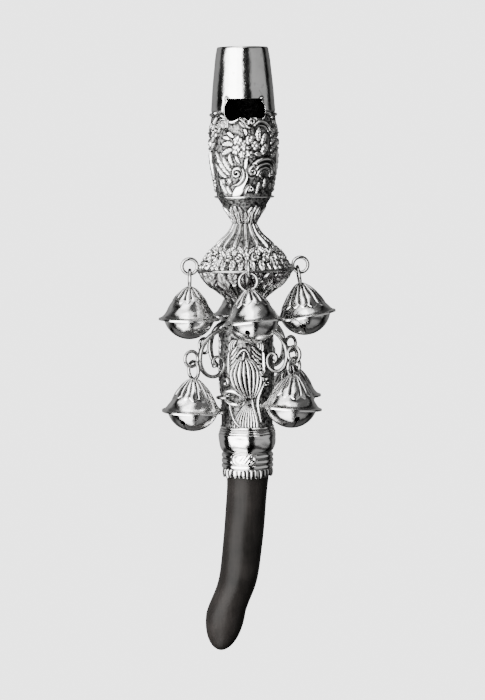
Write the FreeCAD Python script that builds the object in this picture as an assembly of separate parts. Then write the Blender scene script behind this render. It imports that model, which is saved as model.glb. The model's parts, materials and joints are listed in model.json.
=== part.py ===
import FreeCAD, Part
import math
import os

# Baby rattle: whistle, bells and a coral teether on one stem.
# Millimetres, +Z towards the mouthpiece, front is -Y. The origin is on the axis in the middle of the ferrule.

V = FreeCAD.Vector
UP = V(0, 0, 1)
SEAM = 0.02                   # gap between pieces that slip inside one another

# Outside profiles as (radius, height), from the top down
TUBE_PROFILE = [(6.5, 101.0), (6.9, 98.9), (7.35, 95.0), (7.85, 90.0), (8.1, 86.5), (8.65, 80.0), (8.65, 73.0),
                (7.45, 65.2), (7.2, 63.2)]
CUP_PROFILE = [(6.9, 62.5), (5.5, 60.3), (4.1, 58.1), (3.0, 56.0)]
KNOP_TOP_PROFILE = [(3.0, 56.0), (4.3, 53.6), (6.7, 51.2), (9.0, 49.0), (12.4, 44.3)]
KNOP_BASE_PROFILE = [(12.4, 44.3), (10.2, 41.0), (6.0, 37.7), (4.0, 35.4)]
STEM_PROFILE = [(4.0, 35.4), (4.3, 33.0), (6.9, 28.4), (7.0, 24.7), (7.2, 15.0), (6.85, 11.2), (6.9, 3.9)]
WALL = 0.6

# Whistle
BLOCK_TOP = 100.4
BLOCK_BASE = 87.8
WINDWAY_TOP_Y = -4.9
WINDWAY_BASE_Y = -6.5
WINDOW_X = 0.33               # the window sits a little to the right
WINDOW_TOP = 87.8
WINDOW_EAR = (4.5, 86.8)
WINDOW_CORNER_X = 4.9
WINDOW_BULGE = (5.2, 84.9)
WINDOW_FOOT = (4.3, 83.0)
WINDOW_DIP = (2.4, 82.35)
WINDOW_CUSP = (-0.4, 83.1)
FLOOR_THICK = 1.4

# Flange between whistle and cup
FLANGE_R = 7.75
FLANGE_TOP = 63.2
FLANGE_BASE = 62.5

# Wire work
WIRE = 0.45                   # radius of the eye and loop wire
EYE_R = 1.95
LOOP_R = 2.25
LINK_GAP = 0.12
SEAM_WIRE = 0.35
KNOP_EDGE_R = 12.4
KNOP_EDGE_Z = 44.3
UPPER_EYE_R = 14.25
UPPER_EYE_Z = 45.2
UPPER_TURN = 3.0              # the four upper eyes are set round by this angle
# Azimuth, radius and height of the lower eyes
LOWER_EYES = {"front_left": (-145.0, 17.0, 22.2), "front_right": (-42.0, 16.3, 23.2),
              "back_right": (47.0, 17.2, 23.7), "back_left": (130.0, 17.2, 23.4)}

# Scroll brackets: a spiral strap in a radial plane, sized to reach its eye
SCROLL_CENTRE_R = 9.45        # spiral centre, from the axis
SCROLL_DOWN = 1.6             # and below the eye centre
SCROLL_R = 0.642              # spiral size, as a share of the way from its centre to the eye centre
SCROLL_RATE = 0.24
SCROLL_FLARE = 0.045
SCROLL_START = math.radians(112)
SCROLL_END = math.radians(-400)
STRAP_HALF = 0.5
STRAP_WIDTH = 1.5
VOLUTE_R = 0.7

# Bells, measured from the plane of the rim
BELL_R = 7.9
FLANGE_LEAF = 0.25
BOWL_R = 6.75
BOWL_CENTRE = 1.55
BELL_WALL = 0.4
DOME_PROFILE = [(7.2, 0.42), (6.2, 1.65), (5.3, 3.2), (4.2, 5.0), (2.7, 6.8), (0.95, 8.3)]
DOME_TOP = 8.7
DOME_INSIDE = [(6.1, 0.0), (5.7, 1.3), (4.8, 3.1), (3.7, 4.9), (2.2, 6.6)]
DOME_INSIDE_TOP = 7.9
LOOP_ABOVE_TOP = 1.72
SLIT = 0.35
SLIT_HOLE_R = 0.7
SLIT_HOLE_Z = -2.4
PEA_R = 1.3
PEA_SWING = BOWL_R - BELL_WALL - PEA_R - 0.15

# Each bell: eye it hangs from, seat round the eye, outward tilt, sideways lean, direction of its slit
BELLS = {
    "upper_front": (0.0, 5.5, 5.5, -108.0),
    "upper_right": (-60.0, 9.0, 0.0, -101.0),
    "upper_back": (0.0, 0.0, 0.0, 60.0),
    "upper_left": (0.0, 1.5, 0.0, -145.0),
    "lower_front_left": (-45.0, 1.0, -2.0, -116.0),
    "lower_front_right": (0.0, -2.5, -4.5, -72.0),
    "lower_back_right": (0.0, 0.0, 0.0, 20.0),
}

# Ferrule and teether
FERRULE_BORE = 6.0
BAND_PROFILE = [(7.0, 2.9), (7.38, 0.8), (6.6, -2.5)]
RIB_HEIGHTS = [-3.75, -5.1, -6.45]
RIB_HALF = 0.62
RIB_OUT = 6.68
RIB_ROOT = 6.35
FERRULE_TOP = 3.9
FERRULE_BASE = -7.1
PLAQUE_X = -0.93
PLAQUE_Z = -4.3
PLAQUE_HALF = (3.25, 1.7)
PLAQUE_OUT = 7.05
CRIMP_BASE = -9.3
CRIMP_NOTCHES = 22
NOTCH_R = 0.32
CORAL_R = 5.5
CORAL_TAPER = 0.42
CORAL_TAPER_SPAN = 3.0
CORAL_TOP = 2.5
CORAL_TIP = -55.2
CORAL_CAP = 10.0
CORAL_TIP_LEAN = 0.13
CORAL_STRAIGHT = -9.3
CORAL_LEAN = 0.1
CORAL_KINK = 3.6
CORAL_KINK_Z = -41.0
CORAL_KINK_SPAN = 2.4
CEMENT_TOP = 1.5

# Suspension ring, held in a staple on the left of the front
STAPLE_R = 2.1
STAPLE_WIRE = 0.4
STAPLE_OUT = 9.1              # staple centre, from the axis
RING_R = 2.7
RING_WIRE = 0.52
RING_AT = V(-3.3, -8.95, 12.0)
RING_HEADING = math.radians(-24)
RING_LEAN = math.radians(45)  # its top leans away from the stem


def at(radius, height, azimuth=0.0):
    """Point at a radius and height, turned about the axis by azimuth in degrees from +X."""
    turn = math.radians(azimuth)
    return V(radius * math.cos(turn), radius * math.sin(turn), height)


def curve(points):
    """Smooth edge through (radius, height) points in the XZ plane."""
    spline = Part.BSplineCurve()
    spline.interpolate([at(r, z) for r, z in points])
    return spline.toShape()


def line(start, end):
    return Part.makeLine(at(*start), at(*end))


def turned(edges):
    """Solid of revolution about Z of the closed outline made by the edges."""
    face = Part.Face(Part.Wire(Part.__sortEdges__(edges)))
    return face.revolve(V(0, 0, 0), UP, 360)


def envelope(profile, inset=0.0):
    """Filled solid inside a profile, moved in by inset."""
    moved = [(r - inset, z) for r, z in profile]
    top, base = moved[0], moved[-1]
    return turned([curve(moved), line(base, (0, base[1])), line((0, base[1]), (0, top[1])),
                   line((0, top[1]), top)])


def shell(profile, wall=WALL):
    """Thin turned wall under a profile."""
    inner = [(r - wall, z) for r, z in profile]
    return turned([curve(profile), line(profile[-1], inner[-1]), curve(inner), line(inner[0], profile[0])])


def annulus(outer, inner, top, base):
    disc = Part.makeCylinder(outer, top - base, V(0, 0, base))
    return disc.cut(Part.makeCylinder(inner, top - base, V(0, 0, base)))


def window_cutter():
    """Cartouche outline pushed through the front wall of the whistle."""
    def p(x, z):
        return V(x, 0, z)

    def side(sign):
        corner = p(sign * WINDOW_CORNER_X, WINDOW_TOP)
        ear = p(sign * WINDOW_EAR[0], WINDOW_EAR[1])
        foot = p(sign * WINDOW_FOOT[0], WINDOW_FOOT[1])
        bulge = p(sign * WINDOW_BULGE[0], WINDOW_BULGE[1])
        dip = p(sign * WINDOW_DIP[0], WINDOW_DIP[1])
        cusp = p(*WINDOW_CUSP)
        return [Part.makeLine(corner, ear), Part.Arc(ear, bulge, foot).toShape(),
                Part.Arc(foot, dip, cusp).toShape()]

    top = Part.makeLine(p(-WINDOW_CORNER_X, WINDOW_TOP), p(WINDOW_CORNER_X, WINDOW_TOP))
    outline = Part.Wire(Part.__sortEdges__([top] + side(1) + side(-1)))
    cutter = Part.Face(outline).extrude(V(0, -12, 0))
    cutter.translate(V(WINDOW_X, -3, 0))
    return cutter


def whistle_parts():
    bore = envelope(TUBE_PROFILE, WALL + SEAM)
    block = bore.common(Part.makeCylinder(12, BLOCK_TOP - BLOCK_BASE, V(0, 0, BLOCK_BASE)))
    slot = Part.makePolygon([V(-9, WINDWAY_TOP_Y, 101), V(-9, WINDWAY_BASE_Y, BLOCK_BASE),
                             V(-9, -12, BLOCK_BASE), V(-9, -12, 101), V(-9, WINDWAY_TOP_Y, 101)])
    block = block.cut(Part.Face(slot).extrude(V(18, 0, 0)))
    floor = bore.common(Part.makeCylinder(12, FLOOR_THICK, V(0, 0, FLANGE_TOP)))
    return {"whistle_tube": shell(TUBE_PROFILE).cut(window_cutter()),
            "fipple_block": block, "whistle_floor": floor}


def flange():
    thick = FLANGE_TOP - FLANGE_BASE
    disc = Part.makeCylinder(FLANGE_R, thick, V(0, 0, FLANGE_BASE))
    return disc.makeFillet(thick * 0.45, [e for e in disc.Edges if e.Closed and len(e.Vertexes) == 1])


def eye(radius, height, azimuth, taken):
    """Eye ring standing in a radial plane, less what the piece it is soldered to takes."""
    axis = at(1, 0, azimuth + 90)
    ring = Part.makeTorus(EYE_R, WIRE, at(radius, height, azimuth), axis)
    return ring.cut(taken)


def scroll_point(angle, offset, eye_r, eye_z):
    growth = SCROLL_RATE * angle + (SCROLL_FLARE * angle ** 2 if angle > 0 else 0.0)
    reach = SCROLL_R * (eye_r - SCROLL_CENTRE_R) * math.exp(growth) + offset
    return (SCROLL_CENTRE_R + reach * math.cos(angle), eye_z - SCROLL_DOWN + reach * math.sin(angle))


def bracket(azimuth, eye_r, eye_z, stem):
    """Scroll strap that springs from the stem, carries an eye and curls into a volute."""
    steps = 48
    angles = [SCROLL_START + (SCROLL_END - SCROLL_START) * i / steps for i in range(steps + 1)]
    halves = [STRAP_HALF * (1 - 0.45 * i / steps) for i in range(steps + 1)]
    outer = [scroll_point(a, h, eye_r, eye_z) for a, h in zip(angles, halves)]
    inner = [scroll_point(a, -h, eye_r, eye_z) for a, h in zip(angles, halves)]
    outline = [curve(outer), line(outer[-1], inner[-1]), curve(inner), line(inner[0], outer[0])]
    face = Part.Face(Part.Wire(Part.__sortEdges__(outline)))
    strap = face.extrude(V(0, STRAP_WIDTH, 0))
    end = scroll_point(SCROLL_END, 0, eye_r, eye_z)
    boss = Part.makeCylinder(VOLUTE_R, STRAP_WIDTH, V(end[0], 0, end[1]), V(0, 1, 0))
    strap = strap.fuse(boss)
    strap.translate(V(0, -STRAP_WIDTH / 2, 0))
    strap.rotate(V(0, 0, 0), UP, azimuth)
    return strap.cut(stem)


def bell_dome():
    leaf = [(BELL_R, FLANGE_LEAF), (BELL_R, 0.0)]
    outside = curve([(0, DOME_TOP)] + DOME_PROFILE[::-1])
    inside = curve(DOME_INSIDE + [(0, DOME_INSIDE_TOP)])
    return turned([outside, line(DOME_PROFILE[0], leaf[0]), line(*leaf), line(leaf[1], DOME_INSIDE[0]),
                   inside, line((0, DOME_INSIDE_TOP), (0, DOME_TOP))])


def bowl_arc(radius, top):
    """Quarter arc of the bowl from its lowest point up to a height."""
    rim = math.sqrt(radius ** 2 - (BOWL_CENTRE - top) ** 2)
    half = 0.5 * math.atan2(rim, BOWL_CENTRE - top)
    middle = (radius * math.sin(half), BOWL_CENTRE - radius * math.cos(half))
    return (rim, top), Part.Arc(at(0, BOWL_CENTRE - radius), at(*middle), at(rim, top)).toShape()


def bell_bowl(slit_heading):
    """Lower half of a bell with a slit through the bottom that ends in two round holes."""
    outer_rim, outer_arc = bowl_arc(BOWL_R, -FLANGE_LEAF)
    inner_rim, inner_arc = bowl_arc(BOWL_R - BELL_WALL, 0.0)
    bottom = BOWL_CENTRE - BOWL_R
    bowl = turned([outer_arc, line(outer_rim, (BELL_R, -FLANGE_LEAF)),
                   line((BELL_R, -FLANGE_LEAF), (BELL_R, 0.0)), line((BELL_R, 0.0), inner_rim),
                   inner_arc, line((0, bottom + BELL_WALL), (0, bottom))])
    length = 2 * BELL_R
    slit = Part.makeBox(length, SLIT, SLIT_HOLE_Z - bottom + 1, V(-length / 2, -SLIT / 2, bottom - 1))
    holes = Part.makeCylinder(SLIT_HOLE_R, length, V(-length / 2, 0, SLIT_HOLE_Z), V(1, 0, 0))
    cutter = slit.fuse(holes)
    cutter.rotate(V(0, 0, 0), UP, slit_heading)
    return bowl.cut(cutter)


def bell(azimuth, eye_r, eye_z, seat, tilt, lean, slit_heading):
    """One bell hung in its eye: returns its dome, bowl, loop and the pea inside."""
    reach = EYE_R - 2 * WIRE - LINK_GAP
    swing = math.radians(seat)
    hook = at(eye_r + reach * math.sin(swing), eye_z - reach * math.cos(swing), azimuth)
    outward = at(1, 0, azimuth)
    hinge = outward.cross(UP)
    loop_z = DOME_TOP + LOOP_ABOVE_TOP
    place = FreeCAD.Placement(hook, FreeCAD.Rotation(hinge, tilt))
    place = place * FreeCAD.Placement(V(0, 0, -LOOP_R), FreeCAD.Rotation(outward, lean))
    place = place * FreeCAD.Placement(V(0, 0, -loop_z), FreeCAD.Rotation())
    dome = bell_dome()
    bowl = bell_bowl(slit_heading)
    loop = Part.makeTorus(LOOP_R, WIRE, V(0, 0, loop_z), outward)
    cap = Part.makeCone(5.0, 0.0, 5.0, V(0, 0, DOME_TOP - 5.0))
    loop = loop.cut(dome).cut(cap)
    pieces = {"dome": dome, "bowl": bowl, "loop": loop}
    for shape in pieces.values():
        shape.Placement = place
    heart = place.multVec(V(0, 0, BOWL_CENTRE))
    pieces["pea"] = Part.makeSphere(PEA_R, heart - UP * PEA_SWING)
    return pieces


def ferrule():
    """Plain band over three ribs."""
    tube = annulus(RIB_ROOT, FERRULE_BORE, FERRULE_TOP, FERRULE_BASE)
    top, base = BAND_PROFILE[0], BAND_PROFILE[-1]
    band = turned([curve(BAND_PROFILE), line(base, (FERRULE_BORE, base[1])),
                   line((FERRULE_BORE, base[1]), (FERRULE_BORE, top[1])), line((FERRULE_BORE, top[1]), top)])
    shape = tube.fuse(band)
    for z in RIB_HEIGHTS:
        rib = turned([Part.Arc(at(RIB_ROOT - 0.1, z + RIB_HALF), at(RIB_OUT, z),
                               at(RIB_ROOT - 0.1, z - RIB_HALF)).toShape(),
                      line((RIB_ROOT - 0.1, z - RIB_HALF), (RIB_ROOT - 0.1, z + RIB_HALF))])
        shape = shape.fuse(rib)
    return shape.removeSplitter()


def plaque():
    """Oval plate bent round the ribs."""
    oval = Part.Ellipse(V(PLAQUE_X, 0, PLAQUE_Z), *PLAQUE_HALF)
    oval.Axis = V(0, 1, 0)
    oval.Center = V(PLAQUE_X, 0, PLAQUE_Z)
    plate = Part.Face(Part.Wire(oval.toShape())).extrude(V(0, -10, 0))
    return plate.common(annulus(PLAQUE_OUT, RIB_OUT, FERRULE_TOP, FERRULE_BASE))


def crimp_edge():
    """Gathered end of the ferrule, closed in over the teether."""
    outer = [(6.3, FERRULE_BASE), (6.45, -8.1), (5.95, CRIMP_BASE)]
    bore = CORAL_R + 0.05
    ring = turned([curve(outer), line(outer[-1], (bore, CRIMP_BASE)),
                   line((bore, CRIMP_BASE), (bore, FERRULE_BASE)), line((bore, FERRULE_BASE), outer[0])])
    for i in range(CRIMP_NOTCHES):
        azimuth = 360 * i / CRIMP_NOTCHES
        ring = ring.cut(Part.makeCylinder(NOTCH_R, 4, at(6.5, CRIMP_BASE - 1, azimuth)))
    return ring


def coral_centre(z):
    """Sideways drift of the teether towards -X at a height."""
    depth = max(0.0, CORAL_STRAIGHT - z)
    kink = 1 / (1 + math.exp((z - CORAL_KINK_Z) / CORAL_KINK_SPAN))
    ease = depth / (depth + 3.0)
    return -(CORAL_LEAN * depth + CORAL_KINK * kink) * ease


def coral_radius(z):
    depth = max(0.0, CORAL_STRAIGHT - z)
    return CORAL_R - CORAL_TAPER * depth / (depth + CORAL_TAPER_SPAN)


def coral():
    """Branch of coral: round sections along a bent line, with a rounded tip."""
    cap_z = CORAL_TIP + CORAL_CAP
    steps = 14
    wires = []
    for i in range(steps + 1):
        z = CORAL_STRAIGHT + (cap_z - CORAL_STRAIGHT) * i / steps
        wires.append(Part.Wire(Part.makeCircle(coral_radius(z), V(coral_centre(z), 0, z))))
    branch = Part.makeLoft(wires, True)
    root = Part.makeCylinder(CORAL_R, CORAL_TOP - CORAL_STRAIGHT, V(0, 0, CORAL_STRAIGHT))
    cap_r = coral_radius(cap_z)
    stretch = FreeCAD.Matrix(cap_r, 0, CORAL_TIP_LEAN * CORAL_CAP, 0, 0, cap_r, 0, 0, 0, 0, CORAL_CAP, 0)
    tip = Part.makeSphere(1.0).transformGeometry(stretch)
    tip.translate(V(coral_centre(cap_z), 0, cap_z))
    lower = Part.makeBox(30, 30, 30, V(coral_centre(cap_z) - 15, -15, cap_z - 30))
    return root.fuse(branch).fuse(tip.common(lower)).removeSplitter()


def suspension():
    """Loose ring and the staple it turns in."""
    heading = V(math.cos(RING_HEADING), math.sin(RING_HEADING), 0)
    rise = UP * math.cos(RING_LEAN) + heading.cross(UP) * math.sin(RING_LEAN)
    ring = Part.makeTorus(RING_R, RING_WIRE, RING_AT, heading.cross(rise))
    pivot = RING_AT - heading * RING_R
    side = math.degrees(math.atan2(pivot.y, pivot.x))
    staple = Part.makeTorus(STAPLE_R, STAPLE_WIRE, at(STAPLE_OUT, RING_AT.z, side), UP)
    staple = staple.cut(envelope(STEM_PROFILE))
    return {"suspension_staple": staple, "suspension_ring": ring}


def main():
    stem = envelope(STEM_PROFILE)
    knop = envelope(KNOP_TOP_PROFILE).fuse(envelope(KNOP_BASE_PROFILE))
    seam_wire = Part.makeTorus(KNOP_EDGE_R, SEAM_WIRE, V(0, 0, KNOP_EDGE_Z), UP)
    parts = whistle_parts()
    parts["flange_ring"] = flange()
    parts["cup_shell"] = shell(CUP_PROFILE)
    parts["knop_top"] = shell(KNOP_TOP_PROFILE)
    parts["knop_base"] = shell(KNOP_BASE_PROFILE)
    parts["knop_seam_wire"] = seam_wire.cut(knop)
    parts["stem_tube"] = shell(STEM_PROFILE)
    parts["ferrule"] = ferrule()
    parts["ferrule_plaque"] = plaque()
    parts["crimp_edge"] = crimp_edge()
    parts["coral"] = coral()
    parts["coral_cement"] = annulus(FERRULE_BORE, CORAL_R, CEMENT_TOP, FERRULE_BASE)
    parts.update(suspension())

    hung = {}
    for i, side in enumerate(["right", "back", "left", "front"]):
        azimuth = 90 * i + UPPER_TURN
        parts["upper_eye_" + side] = eye(UPPER_EYE_R, UPPER_EYE_Z, azimuth, knop.fuse(seam_wire))
        hung["upper_" + side] = (azimuth, UPPER_EYE_R, UPPER_EYE_Z)
    for side, (azimuth, radius, height) in LOWER_EYES.items():
        strap = bracket(azimuth, radius, height, stem)
        parts["bracket_" + side] = strap
        parts["lower_eye_" + side] = eye(radius, height, azimuth, strap)
        hung["lower_" + side] = (azimuth, radius, height)
    for name, (seat, tilt, lean, slit_heading) in BELLS.items():
        for piece, shape in bell(*hung[name], seat, tilt, lean, slit_heading).items():
            parts[name + "_" + piece] = shape

    os.makedirs("parts", exist_ok=True)
    for node, shape in parts.items():
        shape.exportStep("parts/" + node + ".step")


main()
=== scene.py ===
"""Looks of a silver baby rattle: whistle, chased knop and stem, hanging bells and a coral teether."""

import json
from math import asin, comb, copysign, cos, exp, pi, radians, sin, sqrt

import bpy
import numpy as np
from mathutils import Matrix, Vector


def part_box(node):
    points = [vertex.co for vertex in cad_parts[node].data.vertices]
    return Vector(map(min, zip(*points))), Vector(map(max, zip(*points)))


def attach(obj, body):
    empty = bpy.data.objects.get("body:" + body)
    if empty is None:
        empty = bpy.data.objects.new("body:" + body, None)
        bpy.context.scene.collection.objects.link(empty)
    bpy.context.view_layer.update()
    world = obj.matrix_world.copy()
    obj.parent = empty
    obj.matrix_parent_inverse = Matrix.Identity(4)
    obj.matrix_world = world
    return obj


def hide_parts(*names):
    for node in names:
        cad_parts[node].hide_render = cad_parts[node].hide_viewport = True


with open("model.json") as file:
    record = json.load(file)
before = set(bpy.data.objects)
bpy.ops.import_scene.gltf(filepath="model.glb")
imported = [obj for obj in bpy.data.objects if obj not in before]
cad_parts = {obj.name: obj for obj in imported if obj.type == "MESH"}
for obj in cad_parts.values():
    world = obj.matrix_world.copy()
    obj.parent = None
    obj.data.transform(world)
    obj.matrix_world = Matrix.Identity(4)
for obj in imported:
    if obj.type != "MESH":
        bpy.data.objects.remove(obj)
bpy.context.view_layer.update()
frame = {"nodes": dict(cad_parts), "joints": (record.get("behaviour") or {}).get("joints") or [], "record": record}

MM = 0.001
TURN = 2 * pi
ROOT = "stem_assembly"
JOINTS = {joint["name"]: joint for joint in frame["joints"]}
BELLS = ["upper_front", "upper_right", "upper_back", "upper_left",
         "lower_front_left", "lower_front_right", "lower_back_right"]
# Azimuth from +X, radius and height of each lower eye, as in the CAD
LOWER_EYES = {"front_left": (-145, 17, 22.2), "front_right": (-42, 16.3, 23.2),
              "back_right": (47, 17.2, 23.7), "back_left": (130, 17.2, 23.4)}
FRONT = -pi / 2


# ---- materials

def node(tree, kind, **settings):
    """New shader node with values for its sockets or properties."""
    made = tree.nodes.new("ShaderNode" + kind)
    for key, value in settings.items():
        if key in made.inputs:
            made.inputs[key].default_value = value
        else:
            setattr(made, key, value)
    return made


def link(source, target):
    source.id_data.links.new(source, target)


def ramp(tree, source, stops):
    """Colour ramp from (position, grey or colour) stops."""
    made = node(tree, "ValToRGB")
    elements = made.color_ramp.elements
    while len(elements) < len(stops):
        elements.new(0.5)
    for element, (position, colour) in zip(elements, stops):
        if not isinstance(colour, tuple):
            colour = (colour, colour, colour)
        element.position = position
        element.color = (*colour, 1)
    link(source, made.inputs["Fac"])
    return made.outputs["Color"]


def noise(tree, coordinates, scale, detail=4, rough=0.55):
    made = node(tree, "TexNoise", Scale=scale, Detail=detail, Roughness=rough)
    link(coordinates, made.inputs["Vector"])
    return made.outputs["Fac"]


def maths(tree, operation, first, second):
    made = node(tree, "Math", operation=operation)
    for socket, value in zip(made.inputs, (first, second)):
        if isinstance(value, (int, float)):
            socket.default_value = value
        else:
            link(value, socket)
    return made.outputs["Value"]


def multiply(tree, first, second):
    made = node(tree, "Mix", data_type="RGBA", blend_type="MULTIPLY", Factor=1)
    link(first, made.inputs[6])
    link(second, made.inputs[7])
    return made.outputs[2]


def start_material(name):
    material = bpy.data.materials.new(name)
    material.use_nodes = True
    tree = material.node_tree
    tree.nodes.clear()
    shader = node(tree, "BsdfPrincipled")
    output = node(tree, "OutputMaterial")
    link(shader.outputs["BSDF"], output.inputs["Surface"])
    coordinates = node(tree, "TexCoord").outputs["Object"]
    return material, tree, shader, coordinates


def bump(tree, shader, height, strength, distance):
    made = node(tree, "Bump", Strength=strength, Distance=distance)
    link(height, made.inputs["Height"])
    link(made.outputs["Normal"], shader.inputs["Normal"])


def attribute(tree, name):
    return node(tree, "Attribute", attribute_name=name).outputs["Fac"]


def streaks(tree, where, scales, detail):
    """Noise drawn out along the axis with the lowest scale."""
    stretch = node(tree, "Mapping", Scale=scales)
    link(where, stretch.inputs["Vector"])
    return noise(tree, stretch.outputs["Vector"], 1, detail)


def silver(name, colour, smooth, rough, tarnish_and_shade=1, matting=0, wear=0.1, dents=1):
    """Old silver: cloudy polish, spots, fine scratches, hollows darkened by tarnish and painted shade and, where
    chased, a matted ground.
    """
    material, tree, shader, where = start_material(name)
    shader.inputs["Metallic"].default_value = 1
    cloud = noise(tree, where, 260, 5)
    hollow = attribute(tree, "hollow")
    ground = attribute(tree, "ground")

    # colour: clouds and spots, tarnish and painted shade in the hollows, speckled where the ground is matted
    tone = ramp(tree, cloud, [(0.25, tuple(c * 0.82 for c in colour)), (0.6, colour)])
    spotted = ramp(tree, noise(tree, where, 330, 6, 0.62), [(0.6, 1), (0.7, 0.55)])
    dark = ramp(tree, hollow, [(0, 1), (0.3, 1 - 0.5 * tarnish_and_shade), (0.85, 1 - 0.97 * tarnish_and_shade)])
    speckle = ramp(tree, noise(tree, where, 1250, 4, 0.75), [(0.44, 0.015), (0.6, 0.48)])
    dulled = node(tree, "Mix", data_type="RGBA")
    link(maths(tree, "MULTIPLY", ground, min(1, 3.2 * matting)), dulled.inputs["Factor"])
    dulled.inputs[6].default_value = (1, 1, 1, 1)
    link(speckle, dulled.inputs[7])
    worn = multiply(tree, multiply(tree, tone, spotted), multiply(tree, dark, dulled.outputs[2]))
    link(worn, shader.inputs["Base Color"])

    # roughness: polish, lengthwise scratches and matting
    polish = ramp(tree, cloud, [(0.3, smooth), (0.75, rough)])
    scored = maths(tree, "MULTIPLY", streaks(tree, where, (5200, 5200, 700), 2), wear)
    matted = maths(tree, "MULTIPLY", ground, matting)
    total = maths(tree, "ADD", maths(tree, "ADD", polish, scored), matted)
    link(total, shader.inputs["Roughness"])

    # relief: grain, punched dots on the ground, small and large knocks
    grain = maths(tree, "MULTIPLY", noise(tree, where, 2600, 3), 0.5)
    dots = node(tree, "TexVoronoi", Scale=3300)
    link(where, dots.inputs["Vector"])
    punched = maths(tree, "MULTIPLY", dots.outputs["Distance"], ground)
    small = maths(tree, "MULTIPLY", noise(tree, where, 420, 2), 1.4 * dents)
    large = maths(tree, "MULTIPLY", noise(tree, where, 170, 1), 4 * dents)
    surface = maths(tree, "ADD", maths(tree, "ADD", grain, punched), maths(tree, "ADD", small, large))
    bump(tree, shader, surface, strength=0.55, distance=0.00007)
    return material


def coral_material():
    """Very dark polished coral with fine lengthwise lines and worn, duller patches."""
    material, tree, shader, where = start_material("coral")
    shader.inputs["Specular IOR Level"].default_value = 0.055
    cloud = noise(tree, where, 130, 4)
    lines = streaks(tree, where, (1500, 1500, 110), 5)
    pores = noise(tree, where, 3800, 2)
    base = ramp(tree, cloud, [(0.3, (0.006, 0.0055, 0.005)), (0.7, (0.016, 0.014, 0.013))])
    streak = ramp(tree, lines, [(0.3, 0.72), (0.7, 1)])
    link(multiply(tree, base, streak), shader.inputs["Base Color"])
    link(ramp(tree, cloud, [(0.3, 0.34), (0.75, 0.48)]), shader.inputs["Roughness"])
    bump(tree, shader, maths(tree, "ADD", lines, pores), strength=0.35, distance=0.00006)
    return material


def dull_material(name, low, high, metallic):
    """Rough dark material for what is barely seen: the peas and the setting pitch."""
    material, tree, shader, where = start_material(name)
    cloud = noise(tree, where, 900, 6)
    link(ramp(tree, cloud, [(0.3, low), (0.7, high)]), shader.inputs["Base Color"])
    link(ramp(tree, cloud, [(0.3, 0.5), (0.7, 0.8)]), shader.inputs["Roughness"])
    shader.inputs["Metallic"].default_value = metallic
    bump(tree, shader, cloud, strength=0.5, distance=0.0001)
    return material


SILVER = (0.62, 0.616, 0.61)
POLISHED = silver("silver_polished", SILVER, 0.05, 0.13, tarnish_and_shade=0.95, wear=0.05)
CHASED = silver("silver_chased", (0.5, 0.497, 0.49), 0.06, 0.15, matting=0.42, wear=0.05)
# Chased silver painted much darker for the knop's underside: painted shade under the knop
UNDERSIDE_PAINTED_SHADE = silver("silver_chased_painted_shade", (0.26, 0.258, 0.255), 0.06, 0.15, matting=0.3, wear=0.05)
BELL_SILVER = silver("silver_bell", SILVER, 0.09, 0.2, wear=0.05, dents=1.5)
WIRE_SILVER = silver("silver_wire", (0.23, 0.229, 0.226), 0.08, 0.18, wear=0.06)
SHADED = silver("silver_inside", (0.1, 0.098, 0.095), 0.35, 0.55)
CORAL = coral_material()
PEA = dull_material("pea_metal", (0.05, 0.05, 0.05), (0.16, 0.15, 0.14), 0.9)
PITCH = dull_material("pitch", (0.02, 0.016, 0.012), (0.06, 0.05, 0.04), 0)


# ---- mesh tools

def placed(name, data):
    made = bpy.data.objects.new(name, data)
    bpy.context.collection.objects.link(made)
    return made


def mesh_piece(name, points, faces, material, body=ROOT, replaces=(), layers=None):
    """Smooth mesh piece from millimetre points, riding on a body, with point layers as attributes."""
    mesh = bpy.data.meshes.new(name)
    mesh.from_pydata((np.asarray(points) * MM).tolist(), [], faces)
    for key, values in (layers or {}).items():
        layer = mesh.attributes.new(key, "FLOAT", "POINT")
        layer.data.foreach_set("value", np.asarray(values, dtype=np.float32).ravel())
    mesh.polygons.foreach_set("use_smooth", [True] * len(mesh.polygons))
    mesh.materials.append(material)
    mesh.update()
    piece = placed(name, mesh)
    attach(piece, body)
    if replaces:
        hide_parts(*replaces)
    return piece


def lattice(rows, columns, loop=False):
    """Quads of a grid whose columns close into a ring and whose rows may close into a loop."""
    quads = []
    for r in range(rows if loop else rows - 1):
        row = r * columns
        below = (r + 1) % rows * columns
        for c in range(columns):
            right = (c + 1) % columns
            quads.append((row + c, below + c, below + right, row + right))
    return quads


def smooth_profile(points, steps):
    """Evenly spaced (radius, height) points on a smooth curve through the given ones."""
    points = np.array(points, dtype=float)
    gaps = np.hypot(*np.diff(points, axis=0).T)
    knots = np.concatenate([[0], np.cumsum(gaps)])
    slopes = np.gradient(points, knots, axis=0)
    places = np.linspace(0, knots[-1], steps)
    index = np.clip(np.searchsorted(knots, places, side="right") - 1, 0, len(gaps) - 1)
    span = gaps[index][:, None]
    t = ((places - knots[index]) / gaps[index])[:, None]
    h00 = 2 * t ** 3 - 3 * t ** 2 + 1
    h10 = t ** 3 - 2 * t ** 2 + t
    h01 = -2 * t ** 3 + 3 * t ** 2
    h11 = t ** 3 - t ** 2
    return (h00 * points[index] + h10 * span * slopes[index]
            + h01 * points[index + 1] + h11 * span * slopes[index + 1])


def profile_normals(profile):
    """Outward normals of a profile that runs from the top down."""
    along = np.gradient(profile, axis=0)
    normals = np.stack([-along[:, 1], along[:, 0]], axis=1)
    return normals / np.linalg.norm(normals, axis=1)[:, None]


def turn(profile, columns, height=None, twist=0):
    """Points of a turned wall, pushed out along its normals by a height field (rows, columns)."""
    angles = FRONT + twist + TURN * np.arange(columns) / columns
    normals = profile_normals(profile)
    if height is None:
        height = np.zeros((len(profile), columns))
    radius = profile[:, 0, None] + normals[:, 0, None] * height
    level = profile[:, 1, None] + normals[:, 1, None] * height
    return np.stack([radius * np.cos(angles), radius * np.sin(angles), level], axis=2).reshape(-1, 3)


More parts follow.
